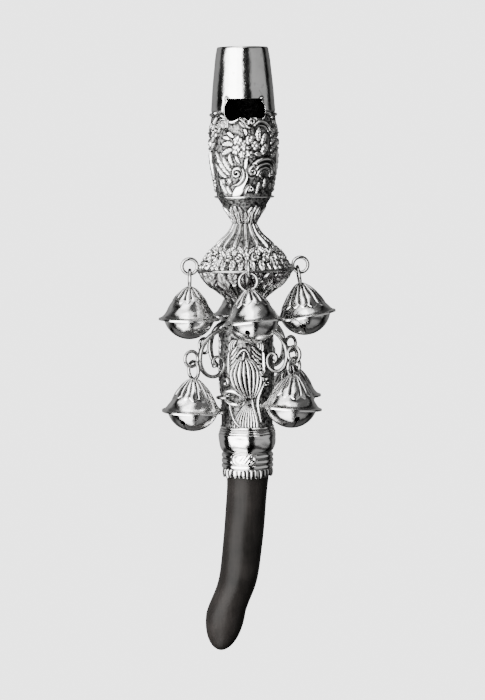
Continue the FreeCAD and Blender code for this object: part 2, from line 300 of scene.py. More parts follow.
def blurred(field, reach):
    """Mean of a field over a square window, wrapping round the columns."""
    total = np.zeros_like(field)
    for shift in range(-reach, reach + 1):
        total += np.roll(field, shift, axis=1)
    total /= 2 * reach + 1
    padded = np.pad(total, ((reach, reach), (0, 0)), mode="edge")
    sums = np.cumsum(np.vstack([np.zeros((1, field.shape[1])), padded]), axis=0)
    window = 2 * reach + 1
    return (sums[window:] - sums[:-window]) / window


def hollows(field, reach, depth):
    """How far each place lies below its surroundings, from 0 to 1 at the given depth."""
    return np.clip((blurred(field, reach) - field) / depth, 0, 1)


# Half width and depth of the line sunk round each motif, and how dark the tarnish and painted shade in it are
OUTLINE = 0.3
OUTLINE_DEPTH = 0.18
LINE_TARNISH_AND_SHADE = 0.85
# Half width of a leaf's midrib
MIDRIB = 0.16
# How far past its own size a motif changes the field
MARGIN = 0.6
# Height below which the ground counts as bare, and so as matted
BARE = 0.05
CURVE_STEPS = 40
COIL_STEPS = 60


class Chasing:
    """Height field over an unrolled wall: x runs round it from the front and z up it, in millimetres."""

    def __init__(self, levels, columns, girth):
        self.girth = girth
        self.x = (np.arange(columns) / columns * girth + girth / 2) % girth - girth / 2
        self.z = np.asarray(levels, dtype=float)
        self.height = np.zeros((len(self.z), columns))
        self.sunk_line = np.zeros_like(self.height)

    def window(self, x, z, reach_x, reach_z):
        """Row and column numbers near a place, and the offsets of their points from it."""
        dx = (self.x - x + self.girth / 2) % self.girth - self.girth / 2
        dz = self.z - z
        columns = np.nonzero(np.abs(dx) < reach_x)[0]
        rows = np.nonzero(np.abs(dz) < reach_z)[0]
        return rows, columns, dx[columns][None, :], dz[rows][:, None]

    def lay(self, rows, columns, height, edge):
        """Puts a motif over what is there, in a sunk line; edge is the distance outside its outline."""
        spot = np.ix_(rows, columns)
        inside = edge <= 0
        line = np.exp(-(np.maximum(edge, 0) / OUTLINE) ** 2)
        below = self.height[spot]
        self.height[spot] = np.where(inside, np.maximum(height, 0.35 * below), below * (1 - 0.8 * line))
        # strength of the sunk line, which sets its depth and its tarnish and painted shade
        self.sunk_line[spot] = np.where(inside, 0.25 * self.sunk_line[spot], np.maximum(self.sunk_line[spot], line))

    def strand(self, path, widths, height, groove=0, veins=0, flat=0.5):
        """Raised strand or leaf along a path; widths is one half width or one at each point."""
        path = np.asarray(path, dtype=float)
        widths = np.broadcast_to(np.asarray(widths, dtype=float), (len(path),))
        low, high = path.min(axis=0), path.max(axis=0)
        middle = (low + high) / 2
        reach = (high - low) / 2 + widths.max() + MARGIN
        rows, columns, dx, dz = self.window(*middle, *reach)
        if not len(rows) or not len(columns):
            return
        best = np.full((len(rows), len(columns)), 1e9)
        place = np.zeros_like(best)
        off = np.zeros_like(best)
        span = np.zeros_like(best)
        for i, ((px, pz), width) in enumerate(zip(path - middle, widths)):
            distance = np.hypot(dx - px, dz - pz)
            ratio = distance / max(width, 0.05)
            nearer = ratio < best
            best = np.where(nearer, ratio, best)
            place = np.where(nearer, i / (len(path) - 1), place)
            off = np.where(nearer, distance, off)
            span = np.where(nearer, width, span)
        lift = height * np.clip(1 - best ** 2, 0, 1) ** flat
        if groove:
            lift = lift * (1 - groove * np.exp(-(off / MIDRIB) ** 2))
        if veins:
            lift = lift * (0.8 + 0.2 * np.cos(TURN * (place * veins - 0.9 * best)))
        self.lay(rows, columns, lift, (best - 1) * span)

    def flower(self, x, z, radius, height, petals=5, turned=0.3):
        """Open flower with notched petals round a boss."""
        rows, columns, dx, dz = self.window(x, z, radius + MARGIN, radius + MARGIN)
        if not len(rows) or not len(columns):
            return
        reach = np.hypot(dx, dz)
        angle = np.arctan2(dz, dx) + turned
        lobe = np.abs(np.cos(petals * angle / 2))
        edge = radius * (0.62 + 0.38 * lobe ** 0.6)
        ratio = reach / edge
        cup = 0.55 + 0.45 * np.clip(ratio, 0, 1) ** 2
        lift = height * np.clip(1 - ratio ** 4, 0, 1) ** 0.5 * cup * (0.45 + 0.55 * lobe ** 0.5)
        boss = height * 1.15 * np.clip(1 - (reach / (0.27 * radius)) ** 2, 0, 1) ** 0.5
        self.lay(rows, columns, np.maximum(lift, boss), (ratio - 1) * edge)

    def turn_quarter(self):
        """Brings the next quarter of the wall to the middle of the drawing."""
        self.x = (self.x + self.girth / 4 + self.girth / 2) % self.girth - self.girth / 2

    def finished(self):
        """Heights with the line round every motif sunk into the ground."""
        return self.height - OUTLINE_DEPTH * self.sunk_line

    def darkness(self, relief, reach, depth):
        """Tarnish and painted shade in the relief's hollows and in the line round every motif."""
        return np.maximum(hollows(relief, reach, depth), LINE_TARNISH_AND_SHADE * self.sunk_line)


def shell(name, outside, inside, relief, hollow, ground, lining, material, replaced):
    """Turned wall with its inner side; lining is the painted shade and the matting of the inner side."""
    columns = relief.shape[1]
    points = np.vstack([turn(outside, columns, relief), turn(inside, columns)])
    plain = np.full((len(inside), columns), lining)
    layers = {"hollow": np.vstack([hollow, plain]), "ground": np.vstack([ground, plain])}
    faces = lattice(len(outside) + len(inside), columns, loop=True)
    return mesh_piece(name, points, faces, material, replaces=[replaced], layers=layers)


def bezier(*corners, count=40):
    """Points on the Bezier curve with the given control points."""
    corners = np.array(corners, dtype=float)
    order = len(corners) - 1
    t = np.linspace(0, 1, count)[:, None]
    total = 0
    for i, corner in enumerate(corners):
        total = total + comb(order, i) * t ** i * (1 - t) ** (order - i) * corner
    return total


def coil(x, z, radius, start, sweep, shrink):
    """Points on a spiral that starts at an angle in degrees and tightens to shrink times its radius."""
    t = np.linspace(0, 1, COIL_STEPS)
    angle = np.radians(start + sweep * t)
    reach = radius * shrink ** t
    return np.stack([x + reach * np.cos(angle), z + reach * np.sin(angle)], axis=1)


def mirrored(side, *corners):
    """The corners on one side of the middle line, 1, or on the other, -1."""
    return [(side * x, z) for x, z in corners]


def stroke(field, corners, width, height, tip=0.15, power=0.8, flat=0.5):
    """Strand along a Bezier curve that swells in the middle and thins to its ends."""
    t = np.linspace(0, 1, CURVE_STEPS)
    widths = width * (tip + (1 - tip) * np.sin(pi * t) ** power)
    field.strand(bezier(*corners), widths, height, flat=flat)


def leaf(field, root, bend, tip, width, height, veins=5):
    """Leaf with a sunk midrib, wavy edge and side veins."""
    t = np.linspace(0, 1, CURVE_STEPS)
    lobes = 0.82 + 0.18 * np.abs(np.sin(veins * pi * t))
    half = width * np.sin(pi * np.clip(t * 0.94 + 0.04, 0, 1)) ** 0.75 * lobes
    field.strand(bezier(root, bend, tip), half, height, groove=0.55, veins=veins, flat=0.45)


def scroll(field, x, z, radius, start, sweep, width=0.42, height=0.42, shrink=0.3):
    """C scroll: a rounded strand that coils up and thins."""
    widths = width * np.linspace(1, 0.35, COIL_STEPS)
    field.strand(coil(x, z, radius, start, sweep, shrink), widths, height)


# ---- whistle

TUBE_LIP = [(5.9, 100.7), (5.95, 100.88), (6.1, 101), (6.32, 100.98), (6.5, 100.8), (6.62, 100.5)]
TUBE_PROFILE = [(6.5, 101), (6.9, 98.9), (7.35, 95), (7.85, 90), (8.1, 86.5), (8.6, 80), (8.6, 73),
                (7.42, 65.2), (7.2, 63.2)]
TUBE_GIRTH = TURN * 8.6
TUBE_WALL = 0.6
TUBE_COLUMNS = 372
# Heights where the lip starts, where the fine rows for the window start, and where the chasing ends
LIP_FOOT = 100.2
WINDOW_REACH = 88.7
CHASED_TOP = 85
# Middle of the window, and the half width round it where the chasing does not fade
WINDOW_X = 0.33
WINDOW_SIDE = 6.4


def window_outline():
    """Cartouche of the whistle window as (x, z) points, from its top right corner round to the top left."""
    parts = [(8, (4.95, 87.8), (4.2, 87.5), (4.5, 86.9)),
             (22, (4.5, 86.9), (5.55, 86.3), (5.55, 82.5), (4.2, 82.7)),
             (14, (4.2, 82.7), (3, 82.6), (2.2, 83.2), (1.5, 83)),
             (8, (1.5, 83), (1.3, 82.5), (0.95, 82.2)),
             (12, (0.95, 82.2), (0.1, 82.7), (-0.4, 83.2), (-1.1, 83.1)),
             (14, (-1.1, 83.1), (-1.9, 82.5), (-2.6, 82.2), (-3.3, 82.2)),
             (24, (-3.3, 82.2), (-5.6, 82.3), (-5.5, 86.3), (-4.5, 86.9)),
             (8, (-4.5, 86.9), (-4.2, 87.5), (-4.95, 87.8))]
    curves = [bezier(*corners, count=count) for count, *corners in parts]
    rim = np.vstack([curves[0]] + [curve[1:] for curve in curves[1:]])
    return rim + np.array([WINDOW_X, 0])


def window_frame(field):
    """Bright scrolled border round the window with curls under its cusp and scrolls at its sides."""
    rim = window_outline()
    side = np.where(rim[:, 0] > 0, 1, -1)
    outward = rim + np.stack([side * 0.3, np.where(rim[:, 1] < 84, -0.32, 0)], axis=1)
    field.strand(outward, 0.42, 0.5)
    # left border: a broad C-scroll with a hatched field inside it
    field.strand(bezier((-4.9, 82.4), (-6.8, 84.9), (-9.9, 82.9), (-9.3, 79)), 0.42, 0.62)
    field.strand(bezier((-4.6, 82), (-6, 83.4), (-8.6, 82), (-8.3, 79.4)), 0.24, 0.34)
    for step in range(9):
        x = -4.3 - 0.48 * step
        top = 82.5 - 0.02 * (step - 3) ** 2 - 0.12 * step
        field.strand(bezier((x, top), (x - 0.25, top - 0.8), (x - 0.1, top - 1.7), count=14), 0.15, 0.24)
    stroke(field, [(-8.6, 79.6), (-7, 79.4), (-6.4, 80.6)], 0.42, 0.5)
    scroll(field, -8.3, 78.8, 1.05, 90, 330, 0.36, 0.55)
    # curls under the cusp
    stroke(field, [(-0.8, 82.6), (0.1, 82), (0.4, 80.9), (2, 80.3)], 0.6, 0.62)
    stroke(field, [(-1.1, 82), (-0.7, 81.4), (-0.2, 80.9), (0.5, 80.5)], 0.34, 0.42)
    scroll(field, 2.3, 81.8, 0.95, 200, -400, 0.42, 0.6, 0.35)
    # right border: crossing strands
    stroke(field, [(2.9, 81), (4.9, 83.1), (7.2, 81.6), (8.4, 78.6)], 0.44, 0.56, tip=0.5)
    field.strand(bezier((5.9, 84.3), (8.9, 84.6), (10.4, 81.6), (9.4, 78.4)), 0.4, 0.56)
    stroke(field, [(3.2, 80.2), (5, 81.8), (6.6, 80.6), (7.6, 78.4)], 0.26, 0.36)


def bouquet(field):
    """Crowded flowers with leaves that spread from them."""
    for blossom in ((0.2, 75.9, 1.9, 0.72, 5, 0.3), (-1.5, 77.2, 1.35, 0.64, 5, 1.1),
                    (1.8, 77.3, 1.35, 0.64, 4, 0.7), (-1.9, 74.9, 1.35, 0.62, 5, 0.1),
                    (3.3, 75.9, 1.25, 0.62, 5, 1.9), (1.4, 73.6, 1.25, 0.6, 4, 2.6),
                    (-0.4, 73.7, 0.95, 0.5, 5, 0.8)):
        field.flower(*blossom)
    for spray in (((-2.8, 76.2), (-4.2, 76.9), (-6, 76), 0.7, 0.52),
                  ((-2.9, 75), (-4.6, 74.8), (-6, 73.6), 0.7, 0.52),
                  ((-2.6, 78), (-3.4, 78.9), (-4.4, 79.3), 0.55, 0.42),
                  ((-3.7, 77.6), (-4.8, 78.2), (-5.8, 78), 0.5, 0.36),
                  ((4, 77), (3.7, 78.7), (4.3, 80.5), 0.75, 0.62),
                  ((5, 75.6), (5.3, 77.4), (6.1, 79.1), 0.72, 0.58),
                  ((4.8, 73.9), (5.9, 74.8), (6.2, 76.4), 0.95, 0.62, 3),
                  ((3, 73.9), (3.9, 74), (4.5, 73.2), 0.6, 0.48),
                  ((0.7, 78.6), (0.7, 79.4), (0.2, 80.1), 0.42, 0.36)):
        leaf(field, *spray)


def scallop_shell(field):
    """Shell of three arcs over a comb, with a curl at its left end."""
    middle = 6.1
    for step in range(9):
        angle = radians(20 + 17.5 * step)
        across, up = cos(angle), sin(angle)
        tooth = [(middle + 1.9 * across, 68 + 1.9 * up), (middle + 0.7 * across, 67.4 + 0.7 * up)]
        field.strand(bezier(*tooth, count=8), 0.24, 0.3)
    for step, radius in enumerate((2.45, 3.5, 4.6)):
        field.strand(coil(middle, 67.9, radius, 10, 150, 1), 0.5, 0.5 + 0.09 * step, flat=0.4)
    scroll(field, 2.4, 69.4, 1.25, 80, 430, 0.46, 0.72, 0.28)


def barrel_panel(field):
    """Bouquet over a scroll and a shell: the chased picture on one side of the whistle."""
    bouquet(field)
    # ridges on the left, flames on the right
    for step in range(4):
        low = 73.6 + 1.5 * step
        stroke(field, [(-12.6, low), (-10.9, low + 1.6), (-8.9, low + 3)], 0.58, 0.62)
        rise = 1.9 * step
        leaf(field, (8, 72.4 + rise), (9.2, 74.2 + rise), (11, 75 + rise), 0.85, 0.55)
    # long thin leaves on the left
    for blade in (((-4, 68.5), (-6.6, 70.4), (-8.2, 74.6), 0.55, 0.58),
                  ((-3.4, 69.5), (-4.9, 71), (-5.8, 73.2), 0.62, 0.58),
                  ((-2.9, 71), (-3.9, 72.4), (-3.7, 73.9), 0.52, 0.5),
                  ((-5.2, 67.9), (-7.2, 68.8), (-8.8, 71.4), 0.55, 0.5),
                  ((-1, 71.5), (-1.9, 72.5), (-2.1, 73.3), 0.42, 0.4)):
        leaf(field, *blade)
    # broad plain band between the spiral and the shell
    stroke(field, [(1, 72.2), (2.4, 69.2), (1.2, 66), (-3.2, 63.4)], 1.75, 0.42, tip=0.3, power=0.45,
           flat=0.22)
    # spiral with a second strand below it
    scroll(field, -2, 69, 1.95, -55, 560, 0.5, 0.72, 0.18)
    stroke(field, [(-0.5, 70.2), (0.5, 68.4), (-0.4, 66.3), (-3.2, 65.9)], 0.46, 0.6)
    scallop_shell(field)
    # curl, small leaves and small flowers along the foot
    scroll(field, 2.1, 64.9, 0.85, 200, -380, 0.34, 0.56, 0.3)
    stroke(field, [(0.2, 63.6), (0.7, 64.9), (1.5, 65.8)], 0.34, 0.52)
    for blade in (((6.1, 65), (6.7, 66.4), (6.4, 67.8), 0.5, 0.52),
                  ((3.7, 63.9), (4.5, 65.2), (4.6, 66.9), 0.46, 0.44),
                  ((-4, 63.8), (-5, 64.8), (-5.4, 65.8), 0.55, 0.5),
                  ((-5.6, 63.9), (-7, 65.4), (-7.6, 67.4), 0.65, 0.52)):
        leaf(field, *blade)
    for blossom in ((-4.4, 67, 0.75, 0.48, 5, 0.4), (9.3, 65.6, 0.95, 0.5, 5, 0.9),
                    (-6.6, 66.9, 0.6, 0.42, 5, 0.9)):
        field.flower(*blossom)


def barrel_side(field):
    """Tall leaf between two scrolls, which fills the wall between the two panels."""
    leaf(field, (0, 64.2), (0.8, 69), (0, 74.2), 1.5, 0.62, 7)
    for side in (-1, 1):
        scroll(field, side * 1.6, 76.6, 1.5, 250, side * 420, 0.42, 0.62, 0.25)
        stroke(field, mirrored(side, (2.6, 75.4), (0.9, 73.6), (2.6, 70.4), (1.9, 67.2)), 0.42, 0.55)
        leaf(field, *mirrored(side, (0.6, 78.2), (1.3, 80.2), (2.6, 81.8)), 0.7, 0.52)
        scroll(field, side * 2.2, 66, 0.9, 90, side * 330, 0.34, 0.5)
    field.flower(0, 79.2, 1.15, 0.6, 6)
    field.strand(bezier((-4.6, 83), (-2, 85.2), (2, 82.6), (4.6, 84.2)), 0.38, 0.52)


def barrel_crest(field):
    """Scrolled top edge of the chasing where there is no window."""
    for side in (-1, 1):
        arch = mirrored(side, (0.2, 82), (3, 85.6), (7.5, 84.6), (9.2, 79))
        field.strand(bezier(*arch), 0.42, 0.58)
        scroll(field, side * 1.2, 81.6, 1.2, 90, side * -420, 0.38, 0.56, 0.25)
        leaf(field, *mirrored(side, (3.4, 80.6), (4.6, 81.8), (6.8, 81.2)), 0.6, 0.46)
    leaf(field, (0, 79.6), (0.1, 81.6), (0, 84.6), 0.8, 0.6, 3)


def whistle():
    """Tube with a plain mouthpiece, a chased barrel and the window cut through its front."""
    body = smooth_profile(TUBE_PROFILE, 312)
    plain = body[(body[:, 1] > WINDOW_REACH) & (body[:, 1] < LIP_FOOT)][::6]
    chased = body[body[:, 1] <= WINDOW_REACH]
    outside = np.vstack([TUBE_LIP, plain, chased])
    field = Chasing(outside[:, 1], TUBE_COLUMNS, TUBE_GIRTH)
    sides = ((window_frame, barrel_panel), (barrel_side,), (barrel_crest, barrel_panel), (barrel_side,))
    for motifs in sides:
        for draw in motifs:
            draw(field)
        field.turn_quarter()
    fade = np.clip((CHASED_TOP - field.z) / 0.7, 0, 1)[:, None]
    beside = (field.z > 80) & (field.z < WINDOW_REACH)
    near_window = (np.abs(field.x) < WINDOW_SIDE)[None, :] & beside[:, None]
    relief = field.finished()
    relief = np.where(near_window, relief, relief * fade) - 0.12 * fade
    # tarnish and painted shade in the hollows and round the motifs, faded out with the chasing
    hollow = field.darkness(relief, reach=5, depth=0.4) * np.where(near_window, 1, fade)
    ground = (field.height < BARE) * fade
    inside = np.stack([outside[::-12, 0] - TUBE_WALL, outside[::-12, 1]], axis=1)
    inside[0, 1] = outside[-1, 1]
    # the inner wall of the tube is painted in full shade, and matted
    tube = shell("whistle_barrel", outside, inside, relief, hollow, ground, 1, CHASED, "whistle_tube")
    cut(tube, window_cutter())


def window_cutter():
    """Prism through the front wall with the window's outline."""
    outline = window_outline()
    count = len(outline)
    points = [(x, y, z) for y in (-12, -3) for x, z in outline]
    faces = [tuple(range(count - 1, -1, -1)), tuple(range(count, 2 * count))]
    faces += [(i, (i + 1) % count, count + (i + 1) % count, count + i) for i in range(count)]
    mesh = bpy.data.meshes.new("window_cutter")
    mesh.from_pydata((np.array(points) * MM).tolist(), [], faces)
    return placed("window_cutter", mesh)


def cut(piece, cutter):
    """Takes the cutter's volume out of a piece and removes the cutter."""
    modifier = piece.modifiers.new("cut", "BOOLEAN")
    modifier.operation = "DIFFERENCE"
    modifier.solver = "EXACT"
    modifier.object = cutter
    bpy.context.view_layer.update()
    result = bpy.data.meshes.new_from_object(piece.evaluated_get(bpy.context.evaluated_depsgraph_get()))
    piece.modifiers.clear()
    piece.data = result
    mesh = cutter.data
    bpy.data.objects.remove(cutter)
    bpy.data.meshes.remove(mesh)


def flange():
    """Thin turned disc with a rounded, slightly uneven edge."""
    profile = np.array([(0, 63.2), (6.8, 63.2), (7.25, 63.12), (7.55, 63.08), (7.7, 63), (7.75, 62.88),
                        (7.7, 62.76), (7.55, 62.68), (7.1, 62.6), (6.4, 62.5), (0, 62.5)])
    columns = 200
    angles = TURN * np.arange(columns) / columns
    points = turn(profile, columns)
    uneven = 0.05 * np.sin(3 * angles + 1) + 0.04 * np.sin(7 * angles)
    points[:, 2] += np.outer(profile[:, 0] / 8, uneven).ravel()
    mesh_piece("flange_disc", points, lattice(len(profile), columns), POLISHED,
               replaces=["flange_ring"])


# ---- cup, knop and stem

SHELL_WALL = 0.5
CUP_PROFILE = [(6.9, 62.5), (6.4, 61.7), (5.5, 60.3), (4.1, 58.1), (3, 56)]
KNOP_TOP_PROFILE = [(3, 56), (4.3, 53.6), (6.7, 51.2), (9, 49), (12.2, 44.55)]
KNOP_BASE_PROFILE = [(12.2, 44.1), (10.2, 41), (6, 37.7), (4, 35.4)]
STEM_PROFILE = [(4, 35.4), (4.3, 33), (6.9, 28.4), (7, 24.7), (7.2, 15), (6.85, 11.2), (6.9, 3.9)]


def chased_wall(name, replaced, profile, draw, steps, columns, radius, depth, unrolled=False,
                material=CHASED):
    """Turned shell with relief from draw(field), whose z is the height or, unrolled, runs up the wall."""
    outside = smooth_profile(profile, steps)
    levels = run_down(outside) if unrolled else outside[:, 1]
    field = Chasing(levels, columns, TURN * radius)
    draw(field)
    relief = field.finished() - depth
    relief *= np.clip(outside[:, 0] / 6, 0.45, 1)[:, None]
    # tarnish and painted shade in the hollows and round the motifs
    hollow = field.darkness(relief, reach=4, depth=0.34)
    ground = (field.height < BARE) * 1
    inside = np.stack([outside[::-8, 0] - SHELL_WALL, outside[::-8, 1]], axis=1)
    shell(name, outside, inside, relief, hollow, ground, 0, material, replaced)


def run_down(outside):
    """Distance of each profile point from the profile's lower end, along the wall."""
    steps = np.hypot(*np.diff(outside, axis=0).T)
    return steps.sum() - np.concatenate([[0], np.cumsum(steps)])


def draw_cup(field):
    """Plain band above a ring of upright leaves."""
    for i in range(6):
        x = field.girth * (i + 0.05) / 6
        for side in (-1, 1):
            leaf(field, (x + side * 0.3, 56.4), (x + side * 1.2, 57.6), (x + side * 1.5, 60.3), 0.95, 0.62, 2)
        leaf(field, (x, 55.8), (x, 57.4), (x, 59), 0.6, 0.5, 2)
        middle = x + field.girth / 12
        leaf(field, (middle, 55.8), (middle + 0.2, 58), (middle, 60.6), 0.85, 0.5, 3)


def draw_knop_top(field):
    """Reeds from the neck over a crowded band of leaves, scrolls and flowers."""
    reeds, clusters = 15, 9
    reed = 1.75 * np.linspace(1, 0.55, 40) * np.sin(np.linspace(0.7, pi - 0.35, 40)) ** 0.5
    for i in range(reeds):
        x = i * (field.girth / reeds) + 0.5
        foot = 6.2 + 1.2 * sin(2.3 * i)
        field.strand(bezier((x, 17.2), (x + 0.2, 12), (x, foot)), reed, 0.62, groove=0.25)
    step = field.girth / clusters
    for i in range(clusters):
        x = i * step + 0.4
        field.flower(x, 5.4, 1.55, 0.72, 5, 0.5 * i)
        leaf(field, (x + 0.9, 5.4), (x + 2.1, 6.6), (x + 3.3, 6.9), 0.85, 0.6)
        leaf(field, (x - 0.9, 5.4), (x - 2, 6.8), (x - 2.8, 7.4), 0.75, 0.56)
        leaf(field, (x, 4.2), (x + 0.3, 2.4), (x, 0.1), 1, 0.62, 4)
        leaf(field, (x + 0.9, 3.6), (x + 1.5, 2), (x + 1.4, 0.2), 0.75, 0.5, 3)
        leaf(field, (x - 0.9, 3.6), (x - 1.5, 2), (x - 1.4, 0.2), 0.75, 0.5, 3)
        scroll(field, x + 2.4, 3.8, 1.25, 100, 420, 0.42, 0.62, 0.28)
        scroll(field, x - 2.2, 3.5, 1.15, 80, -420, 0.4, 0.6, 0.28)
        middle = x + step / 2
        leaf(field, (middle, 3.2), (middle + 0.2, 1.8), (middle, 0.1), 0.85, 0.56, 3)
        field.flower(middle, 5.6, 0.95, 0.56, 5, 0.9 * i)


def draw_knop_base(field):
    """Overlapping leaves that run in to the waist."""
    count = 11
    step = field.girth / count
    for i in range(count):
        x = i * step
        middle = x + step / 2
        leaf(field, (x, 0.2), (x + 0.3, 6), (x, 11.8), 2.5, 0.62, 4)
        stroke(field, [(middle, 2), (middle, 6.5), (middle, 11.4)], 0.62, 0.5)
        leaf(field, (middle, 8.6), (middle, 10.4), (middle, 12.5), 1.25, 0.62, 3)


def stem_surround(field):
    """Panels beside the leaf, with slanting ribs, an upright strand, a scroll and curls."""
    for side in (-1, 1):
        for step in range(5):
            low = 17.9 + 1.1 * step
            rib = [(side * 4.4, low), (side * 3.3 - 0.3, low + 0.9), (side * 2 - 0.5, low + 2.6)]
            stroke(field, rib, 0.36, 0.3, flat=0.35)
        stroke(field, mirrored(side, (4.7, 17.6), (5, 20.4), (4.7, 23.6)), 0.34, 0.5, tip=0.6)
        scroll(field, side * 5.9, 15.3, 1.1, 90, side * 300, 0.36, 0.44)
        for i in range(3):
            foot = (4.4 - 0.6 * i, 23.4 + 0.5 * i)
            stroke(field, mirrored(side, foot, (5 - 0.7 * i, 25.4), (3.4 - 0.5 * i, 26.6)), 0.3, 0.5)


def stem_skirt(field):
    """Ribs that spread from the waist down to the foot."""
    widths = 0.22 + 0.24 * np.linspace(0, 1, CURVE_STEPS)
    for i in range(9):
        foot = -3.3 + 0.78 * i
        rib = bezier((0.4 + 0.16 * i, 12.2), (0.15 * foot + 0.7, 9.2), (foot, 7.6), (foot, 4.3))
        field.strand(rib, widths, 0.34 + 0.05 * (i % 2), flat=0.35)


def stem_leaf(field):
    """Ribs that rise from the waist, the outer ones first, and close to the leaf's point."""
    widths = np.concatenate([np.linspace(0.24, 0.32, 20), np.linspace(0.36, 0.5, 8),
                             np.linspace(0.48, 0.1, 20)])
    for i in (0, 7, 1, 6, 2, 5, 3, 4):
        x = -4 + 1.13 * i + 0.14 * sin(5.3 * i)
        lower = bezier((0.34 * x + 0.8, 11.8), (0.75 * x + 0.2, 13.6), (x + 0.1, 15.4), (x, 17.6), count=24)
        upper = bezier((x, 17.6), (0.92 * x, 20), (-0.65, 22.9), count=24)
        field.strand(np.vstack([lower, upper]), widths * (1 + 0.15 * sin(3.7 * i)), 0.56, flat=0.35)


def stem_face(field):
    """Front or back of the stem: a ribbed, pointed leaf, a narrow waist and a spreading skirt."""
    stem_surround(field)
    stem_skirt(field)
    stem_leaf(field)
    stroke(field, [(-2.4, 22.2), (-0.9, 25), (0.3, 24.6), (1, 21.4)], 0.28, 0.6, tip=0.5)
    stroke(field, [(-0.9, 21.3), (-0.6, 22.6), (-0.5, 23.6)], 0.42, 0.62)
    for i in range(4):
        drop = 1.6 * i
        tip = (3.5 + 0.4 * i, 19.9 - 1.5 * i)
        leaf(field, (2.2 + 0.7 * i, 21.6 - drop), (3.2 + 0.6 * i, 21.3 - drop), tip, 0.45, 0.5, 2)
    # strands that frame the waist and open into the foot
    stroke(field, [(-5.2, 12.4), (-5.3, 8.6), (-4.4, 6.2), (-2, 4.2)], 0.36, 0.36, tip=0.5)
    stroke(field, [(5, 15.6), (4, 13), (2.2, 11.6), (3.4, 8.4), (3.9, 5.4)], 0.44, 0.42, tip=0.4)
    field.flower(0.2, 27.6, 1.05, 0.52, 5, 0.2)


def stem_side(field):
    """Plainer side of the stem: a slim stalk with leaves and a flower."""
    leaf(field, (0, 21.5), (0.3, 24.5), (0, 28.4), 1.5, 0.4, 5)
    stroke(field, [(0, 21.6), (0.5, 16), (0, 9)], 0.34, 0.3)
    leaf(field, (0.2, 15.5), (1.5, 16.8), (2.2, 19), 0.8, 0.36)
    leaf(field, (0.1, 12.2), (-1.4, 13.6), (-2, 15.8), 0.8, 0.36)
    field.flower(0, 8, 1.5, 0.42, 6, 0.1)


def draw_stem(field):
    for draw in (stem_face, stem_side, stem_face, stem_side):
        draw(field)
        field.turn_quarter()


def knop_and_stem():
    chased_wall("cup_chased", "cup_shell", CUP_PROFILE, draw_cup,
                steps=90, columns=320, radius=4.8, depth=0.1)
    chased_wall("knop_upper_chased", "knop_top", KNOP_TOP_PROFILE, draw_knop_top,
                steps=170, columns=500, radius=10, depth=0.2, unrolled=True)
    # the knop's underside takes the darker silver, as painted shade
    chased_wall("knop_lower_chased", "knop_base", KNOP_BASE_PROFILE, draw_knop_base,
                steps=120, columns=460, radius=9, depth=0.2, unrolled=True, material=UNDERSIDE_PAINTED_SHADE)
    chased_wall("stem_chased", "stem_tube", STEM_PROFILE, draw_stem,
                steps=260, columns=340, radius=7, depth=0.22)


# ---- scroll straps

STRAP_SIDES = 24
# Width of a strap over its thickness
STRAP_SPREAD = 1.4
# Radius of the spiral's middle from the axis, its depth below the eye, and its size for each mm of reach
VOLUTE_RADIUS = 9.45
VOLUTE_DROP = 1.6
VOLUTE_SIZE = 0.642
BEAD_STEPS = 12


def strap(name, path, thickness, across, replaced):
    """Strap along a path of millimetre points: rounded at the back, wider across than thick."""
    path = [Vector(p) for p in path]
    points = []
    for i, (centre, thick) in enumerate(zip(path, thickness)):
        ahead = path[min(i + 1, len(path) - 1)]
        behind = path[max(i - 1, 0)]
        up = (ahead - behind).normalized().cross(across).normalized()
        for k in range(STRAP_SIDES):
            angle = TURN * k / STRAP_SIDES
            x, y = cos(angle), sin(angle)
            x = copysign(abs(x) ** 0.6, x) * STRAP_SPREAD
            y = copysign(abs(y) ** 0.8, y)
            points.append(centre + (across * x + up * y) * thick)
    faces = lattice(len(path), STRAP_SIDES)
    faces.append(tuple(range(STRAP_SIDES)))
    faces.append(tuple(reversed(range(len(points) - STRAP_SIDES, len(points)))))
    mesh_piece(name, [tuple(p) for p in points], faces, WIRE_SILVER, ROOT, [replaced])


def brackets():
    """Scroll straps that thin to a bead in the volute."""
    for side, (azimuth, eye_r, eye_z) in LOWER_EYES.items():
        turned_to = radians(azimuth)
        out = (cos(turned_to), sin(turned_to))
        angles = np.radians(np.linspace(109, -430, 130))
        growth = 0.24 * angles + np.where(angles > 0, 0.045 * angles ** 2, 0)
        reach = VOLUTE_SIZE * (eye_r - VOLUTE_RADIUS) * np.exp(growth)
        radius = VOLUTE_RADIUS + reach * np.cos(angles)
        level = eye_z - VOLUTE_DROP + reach * np.sin(angles)
        path = [(r * out[0], r * out[1], z) for r, z in zip(radius, level)]
        thickness = 0.54 * np.linspace(1, 0.62, len(path))
        thickness[-BEAD_STEPS:] = 0.33 + 0.25 * np.sin(np.linspace(0, pi, BEAD_STEPS))
        strap("scroll_bracket_" + side, path, thickness, Vector((-out[1], out[0], 0)), "bracket_" + side)


def finish_nodes():
    """Procedural silver and stone on the CAD solids that stay as they are."""
    choice = {"silver_polished": POLISHED, "silver_chased": CHASED, "silver_wire": WIRE_SILVER,
              "pea_metal": PEA, "coral": CORAL, "cement": PITCH}
    slots = {part["node"]: part["material_slot"] for part in frame["record"]["subparts"]}
    for name, solid in frame["nodes"].items():
        material = choice[slots[name]]
        if name.endswith("_bowl") or name == "suspension_ring":
            material = BELL_SILVER
        if "_eye" in name or name.endswith("_loop"):
            material = WIRE_SILVER
        if name in ("fipple_block", "whistle_floor"):
            material = SHADED
        if solid.material_slots:
            for held in solid.material_slots:
                held.material = material
        else:
            solid.data.materials.append(material)


# ---- bells

# Height of the pea's hinge over the rim, and the least distance from it to the rim's edge
BOWL_CENTRE = 1.55
RIM_REACH = 8.02
# Height over the rim at which the flutes of each dome end
FLUTE_END = {"upper_front": 5.3, "upper_right": 3.3, "upper_back": 4, "upper_left": 5.6,
             "lower_front_left": 4.2, "lower_front_right": 3.9, "lower_back_right": 4}
